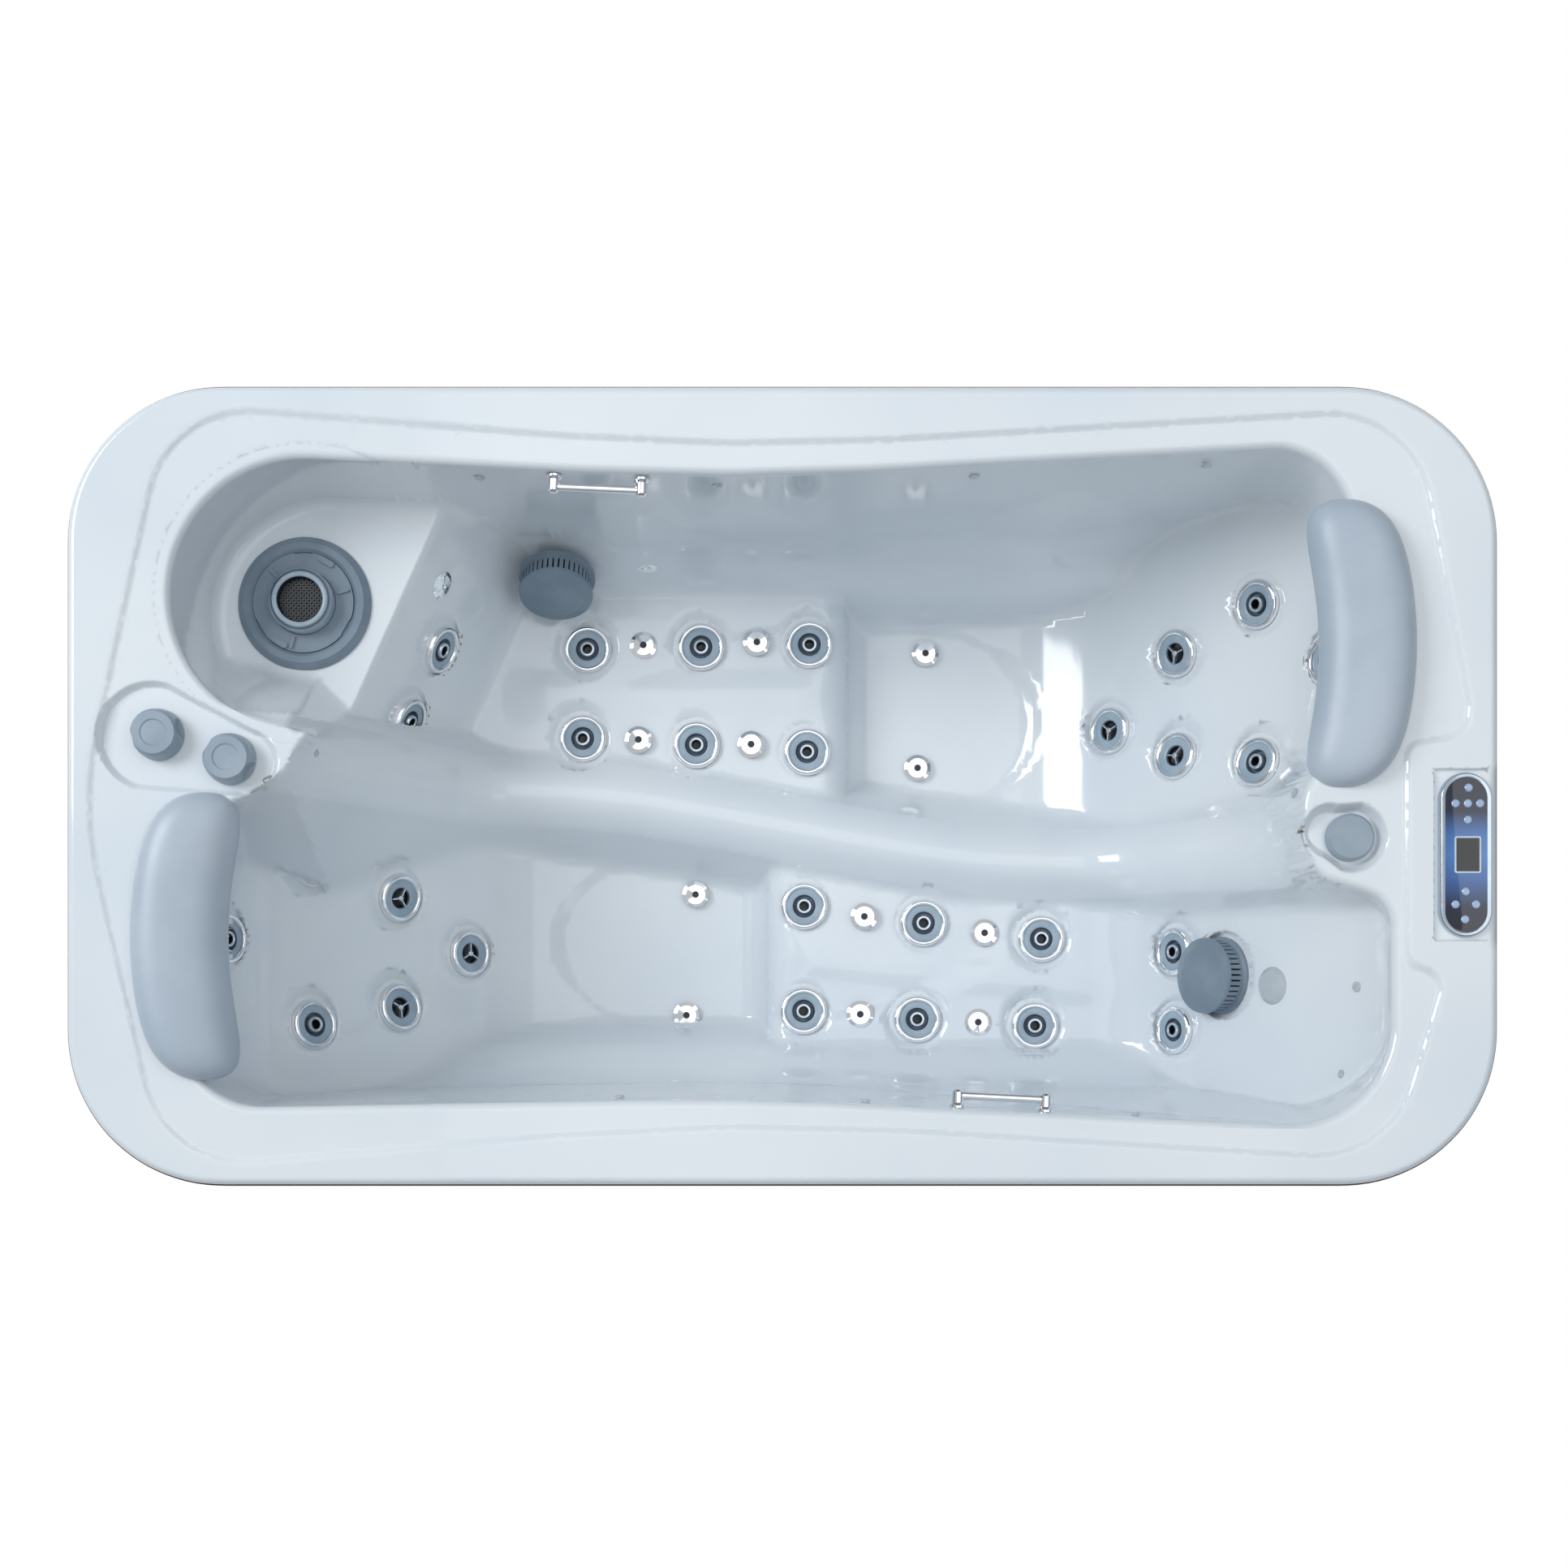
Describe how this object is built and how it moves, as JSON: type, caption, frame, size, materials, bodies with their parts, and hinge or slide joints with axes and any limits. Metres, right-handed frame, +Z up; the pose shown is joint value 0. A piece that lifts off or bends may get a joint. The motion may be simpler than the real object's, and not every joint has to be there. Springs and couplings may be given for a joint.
{
  "type": "two-lounger hot tub",
  "caption": "Rectangular acrylic hot tub with two opposed loungers, turning jets, lift-out filter, head pillows, valve knobs, control panel, skirted cabinet and its equipment.",
  "frame": {"origin": "centre of the footprint, on the floor", "axes": "+X along the length towards the end with the control panel, +Y towards the long side with the filter, +Z up"},
  "size_m": [2.1, 1.172, 0.7985],
  "materials": {
    "acrylic": "gloss, pale clouded white",
    "cabinet": "matt dark brown",
    "pan": "matt black",
    "frame": "galvanised",
    "jet": "satin grey face with a bright ring",
    "fitting": "matt white",
    "chrome": "polished",
    "slate": "satin slate grey",
    "lens": "clear",
    "filter_cloth": "pleated cloth",
    "panel": "silver with a dark inlay",
    "button": "satin pale blue",
    "pillow": "satin blue-grey skin over foam",
    "pump": "black",
    "box": "grey",
    "pipe": "matt white"
  },
  "bodies": {
    "tub": {"acrylic_shell": "acrylic", "base_tray": "pan", "frame_tubes": "frame", "cabinet_panels": "cabinet", "jet_bodies": "fitting", "air_injectors": "chrome", "suction_covers": "slate", "light_lens": "lens", "grab_handles": "chrome", "filter_canister": "slate", "topside_panel": "panel", "pump_and_blower": "pump", "control_box": "box", "valves_and_pipes": "pipe"},
    "jet_north_leg_1": {"jet_north_leg_1": "jet"},
    "jet_north_leg_2": {"jet_north_leg_2": "jet"},
    "jet_north_leg_3": {"jet_north_leg_3": "jet"},
    "jet_north_leg_4": {"jet_north_leg_4": "jet"},
    "jet_north_leg_5": {"jet_north_leg_5": "jet"},
    "jet_north_leg_6": {"jet_north_leg_6": "jet"},
    "jet_north_foot_1": {"jet_north_foot_1": "jet"},
    "jet_north_foot_2": {"jet_north_foot_2": "jet"},
    "jet_north_back_1": {"jet_north_back_1": "jet"},
    "jet_north_back_2": {"jet_north_back_2": "jet"},
    "jet_north_back_3": {"jet_north_back_3": "jet"},
    "jet_north_back_4": {"jet_north_back_4": "jet"},
    "jet_north_back_5": {"jet_north_back_5": "jet"},
    "jet_north_neck": {"jet_north_neck": "jet"},
    "jet_south_leg_1": {"jet_south_leg_1": "jet"},
    "jet_south_leg_2": {"jet_south_leg_2": "jet"},
    "jet_south_leg_3": {"jet_south_leg_3": "jet"},
    "jet_south_leg_4": {"jet_south_leg_4": "jet"},
    "jet_south_leg_5": {"jet_south_leg_5": "jet"},
    "jet_south_leg_6": {"jet_south_leg_6": "jet"},
    "jet_south_foot_1": {"jet_south_foot_1": "jet"},
    "jet_south_foot_2": {"jet_south_foot_2": "jet"},
    "jet_south_back_1": {"jet_south_back_1": "jet"},
    "jet_south_back_2": {"jet_south_back_2": "jet"},
    "jet_south_back_3": {"jet_south_back_3": "jet"},
    "jet_south_back_4": {"jet_south_back_4": "jet"},
    "jet_south_back_5": {"jet_south_back_5": "jet"},
    "jet_south_neck": {"jet_south_neck": "jet"},
    "filter_cartridge": {"filter_cartridge": "filter_cloth"},
    "filter_lock_ring": {"filter_lock_ring": "slate"},
    "skimmer_weir": {"skimmer_weir": "slate"},
    "diverter_knob": {"diverter_knob": "slate"},
    "air_control_knob": {"air_control_knob": "slate"},
    "aroma_cap": {"aroma_cap": "slate"},
    "access_door": {"access_door": "cabinet"},
    "pillow_east": {"pillow_east": "pillow"},
    "pillow_west": {"pillow_west": "pillow"},
    "panel_button_1": {"panel_button_1": "button"},
    "panel_button_2": {"panel_button_2": "button"},
    "panel_button_3": {"panel_button_3": "button"},
    "panel_button_4": {"panel_button_4": "button"},
    "panel_button_5": {"panel_button_5": "button"},
    "panel_button_6": {"panel_button_6": "button"},
    "panel_button_7": {"panel_button_7": "button"},
    "panel_button_8": {"panel_button_8": "button"},
    "panel_button_9": {"panel_button_9": "button"}
  },
  "joints": [
    {"name": "north_leg_1_turn", "type": "hinge", "parent": "tub", "child": "jet_north_leg_1", "pos_m": [-0.335, 0.292, 0.241], "axis": [0, 0, 1], "range_deg": [0, 110]},
    {"name": "north_leg_2_turn", "type": "hinge", "parent": "tub", "child": "jet_north_leg_2", "pos_m": [-0.14, 0.296, 0.241], "axis": [0, 0, 1], "range_deg": [0, 110]},
    {"name": "north_leg_3_turn", "type": "hinge", "parent": "tub", "child": "jet_north_leg_3", "pos_m": [0.046, 0.3, 0.241], "axis": [0, 0, 1], "range_deg": [0, 110]},
    {"name": "north_leg_4_turn", "type": "hinge", "parent": "tub", "child": "jet_north_leg_4", "pos_m": [-0.343, 0.139, 0.241], "axis": [0, 0, 1], "range_deg": [0, 110]},
    {"name": "north_leg_5_turn", "type": "hinge", "parent": "tub", "child": "jet_north_leg_5", "pos_m": [-0.148, 0.128, 0.241], "axis": [0, 0, 1], "range_deg": [0, 110]},
    {"name": "north_leg_6_turn", "type": "hinge", "parent": "tub", "child": "jet_north_leg_6", "pos_m": [0.042, 0.116, 0.241], "axis": [0, 0, 1], "range_deg": [0, 110]},
    {"name": "north_foot_1_turn", "type": "hinge", "parent": "tub", "child": "jet_north_foot_1", "pos_m": [-0.56239, 0.26484, 0.39692], "axis": [0.8572, -0.3851, 0.342], "range_deg": [0, 110]},
    {"name": "north_foot_2_turn", "type": "hinge", "parent": "tub", "child": "jet_north_foot_2", "pos_m": [-0.61566, 0.14626, 0.39692], "axis": [0.8572, -0.3851, 0.342], "range_deg": [0, 110]},
    {"name": "north_back_1_turn", "type": "hinge", "parent": "tub", "child": "jet_north_back_1", "pos_m": [0.56412, 0.153, 0.23998], "axis": [-0.7431, 0, 0.6691], "range_deg": [0, 110]},
    {"name": "north_back_2_turn", "type": "hinge", "parent": "tub", "child": "jet_north_back_2", "pos_m": [0.65769, 0.26733, 0.34404], "axis": [-0.7349, -0.1483, 0.6617], "range_deg": [0, 110]},
    {"name": "north_back_3_turn", "type": "hinge", "parent": "tub", "child": "jet_north_back_3", "pos_m": [0.65769, 0.09567, 0.34404], "axis": [-0.7349, 0.1483, 0.6617], "range_deg": [0, 110]},
    {"name": "north_back_4_turn", "type": "hinge", "parent": "tub", "child": "jet_north_back_4", "pos_m": [0.76577, 0.32507, 0.46402], "axis": [-0.7379, -0.1191, 0.6644], "range_deg": [0, 110]},
    {"name": "north_back_5_turn", "type": "hinge", "parent": "tub", "child": "jet_north_back_5", "pos_m": [0.76577, 0.07093, 0.46402], "axis": [-0.7379, 0.1191, 0.6644], "range_deg": [0, 110]},
    {"name": "north_neck_turn", "type": "hinge", "parent": "tub", "child": "jet_north_neck", "pos_m": [0.84778, 0.214, 0.58578], "axis": [-0.8829, 0, 0.4695], "range_deg": [0, 110]},
    {"name": "south_leg_1_turn", "type": "hinge", "parent": "tub", "child": "jet_south_leg_1", "pos_m": [0.037, -0.149, 0.241], "axis": [0, 0, 1], "range_deg": [0, 110]},
    {"name": "south_leg_2_turn", "type": "hinge", "parent": "tub", "child": "jet_south_leg_2", "pos_m": [0.242, -0.178, 0.241], "axis": [0, 0, 1], "range_deg": [0, 110]},
    {"name": "south_leg_3_turn", "type": "hinge", "parent": "tub", "child": "jet_south_leg_3", "pos_m": [0.444, -0.205, 0.241], "axis": [0, 0, 1], "range_deg": [0, 110]},
    {"name": "south_leg_4_turn", "type": "hinge", "parent": "tub", "child": "jet_south_leg_4", "pos_m": [0.036, -0.329, 0.241], "axis": [0, 0, 1], "range_deg": [0, 110]},
    {"name": "south_leg_5_turn", "type": "hinge", "parent": "tub", "child": "jet_south_leg_5", "pos_m": [0.231, -0.343, 0.241], "axis": [0, 0, 1], "range_deg": [0, 110]},
    {"name": "south_leg_6_turn", "type": "hinge", "parent": "tub", "child": "jet_south_leg_6", "pos_m": [0.433, -0.354, 0.241], "axis": [0, 0, 1], "range_deg": [0, 110]},
    {"name": "south_foot_1_turn", "type": "hinge", "parent": "tub", "child": "jet_south_foot_1", "pos_m": [0.6595, -0.23, 0.3251], "axis": [-0.8387, 0, 0.5446], "range_deg": [0, 110]},
    {"name": "south_foot_2_turn", "type": "hinge", "parent": "tub", "child": "jet_south_foot_2", "pos_m": [0.6595, -0.361, 0.3251], "axis": [-0.8387, 0, 0.5446], "range_deg": [0, 110]},
    {"name": "south_back_1_turn", "type": "hinge", "parent": "tub", "child": "jet_south_back_1", "pos_m": [-0.53952, -0.23, 0.23975], "axis": [0.7193, 0, 0.6947], "range_deg": [0, 110]},
    {"name": "south_back_2_turn", "type": "hinge", "parent": "tub", "child": "jet_south_back_2", "pos_m": [-0.63988, -0.14067, 0.34382], "axis": [0.7114, -0.1483, 0.687], "range_deg": [0, 110]},
    {"name": "south_back_3_turn", "type": "hinge", "parent": "tub", "child": "jet_south_back_3", "pos_m": [-0.63988, -0.32433, 0.34382], "axis": [0.7114, 0.1483, 0.687], "range_deg": [0, 110]},
    {"name": "south_back_4_turn", "type": "hinge", "parent": "tub", "child": "jet_south_back_4", "pos_m": [-0.75579, -0.09093, 0.46379], "axis": [0.7142, -0.1191, 0.6897], "range_deg": [0, 110]},
    {"name": "south_back_5_turn", "type": "hinge", "parent": "tub", "child": "jet_south_back_5", "pos_m": [-0.75579, -0.35207, 0.46379], "axis": [0.7142, 0.1191, 0.6897], "range_deg": [0, 110]},
    {"name": "south_neck_turn", "type": "hinge", "parent": "tub", "child": "jet_south_neck", "pos_m": [-0.8614, -0.219, 0.59578], "axis": [0.8829, 0, 0.4695], "range_deg": [0, 110]},
    {"name": "button_1_press", "type": "slide", "parent": "tub", "child": "panel_button_1", "axis": [0, 0, -1], "range_m": [0, 0.0008], "stiffness_N_per_m": 400, "springref_m": -0.0005},
    {"name": "button_2_press", "type": "slide", "parent": "tub", "child": "panel_button_2", "axis": [0, 0, -1], "range_m": [0, 0.0008], "stiffness_N_per_m": 400, "springref_m": -0.0005},
    {"name": "button_3_press", "type": "slide", "parent": "tub", "child": "panel_button_3", "axis": [0, 0, -1], "range_m": [0, 0.0008], "stiffness_N_per_m": 400, "springref_m": -0.0005},
    {"name": "button_4_press", "type": "slide", "parent": "tub", "child": "panel_button_4", "axis": [0, 0, -1], "range_m": [0, 0.0008], "stiffness_N_per_m": 400, "springref_m": -0.0005},
    {"name": "button_5_press", "type": "slide", "parent": "tub", "child": "panel_button_5", "axis": [0, 0, -1], "range_m": [0, 0.0008], "stiffness_N_per_m": 400, "springref_m": -0.0005},
    {"name": "button_6_press", "type": "slide", "parent": "tub", "child": "panel_button_6", "axis": [0, 0, -1], "range_m": [0, 0.0008], "stiffness_N_per_m": 400, "springref_m": -0.0005},
    {"name": "button_7_press", "type": "slide", "parent": "tub", "child": "panel_button_7", "axis": [0, 0, -1], "range_m": [0, 0.0008], "stiffness_N_per_m": 400, "springref_m": -0.0005},
    {"name": "button_8_press", "type": "slide", "parent": "tub", "child": "panel_button_8", "axis": [0, 0, -1], "range_m": [0, 0.0008], "stiffness_N_per_m": 400, "springref_m": -0.0005},
    {"name": "button_9_press", "type": "slide", "parent": "tub", "child": "panel_button_9", "axis": [0, 0, -1], "range_m": [0, 0.0008], "stiffness_N_per_m": 400, "springref_m": -0.0005},
    {"name": "diverter_turn", "type": "hinge", "parent": "tub", "child": "diverter_knob", "pos_m": [-0.919, 0.076, 0.754], "axis": [0, 0, 1], "range_deg": [0, 180]},
    {"name": "air_control_turn", "type": "hinge", "parent": "tub", "child": "air_control_knob", "pos_m": [-0.813, 0.04, 0.754], "axis": [0, 0, 1], "range_deg": [0, 270]},
    {"name": "cartridge_lift", "type": "slide", "parent": "tub", "child": "filter_cartridge", "axis": [0, 0, 1], "range_m": [0, 0.3]},
    {"name": "lock_ring_turn", "type": "hinge", "parent": "filter_cartridge", "child": "filter_lock_ring", "pos_m": [-0.746, 0.306, 0.56], "axis": [0, 0, 1], "range_deg": [0, 30]},
    {"name": "weir_float", "type": "slide", "parent": "filter_lock_ring", "child": "skimmer_weir", "axis": [0, 0, 1], "range_m": [-0.015, 0]},
    {"name": "aroma_cap_lift", "type": "slide", "parent": "tub", "child": "aroma_cap", "axis": [0, 0, 1], "range_m": [0, 0.04]},
    {"name": "door_pull", "type": "slide", "parent": "tub", "child": "access_door", "axis": [1, 0, 0], "range_m": [0, 0.3]},
    {"name": "pillow_east_lift", "type": "slide", "parent": "tub", "child": "pillow_east", "axis": [0, 0, 1], "range_m": [0, 0.15]},
    {"name": "pillow_west_lift", "type": "slide", "parent": "tub", "child": "pillow_west", "axis": [0, 0, 1], "range_m": [0, 0.15]}
  ]
}
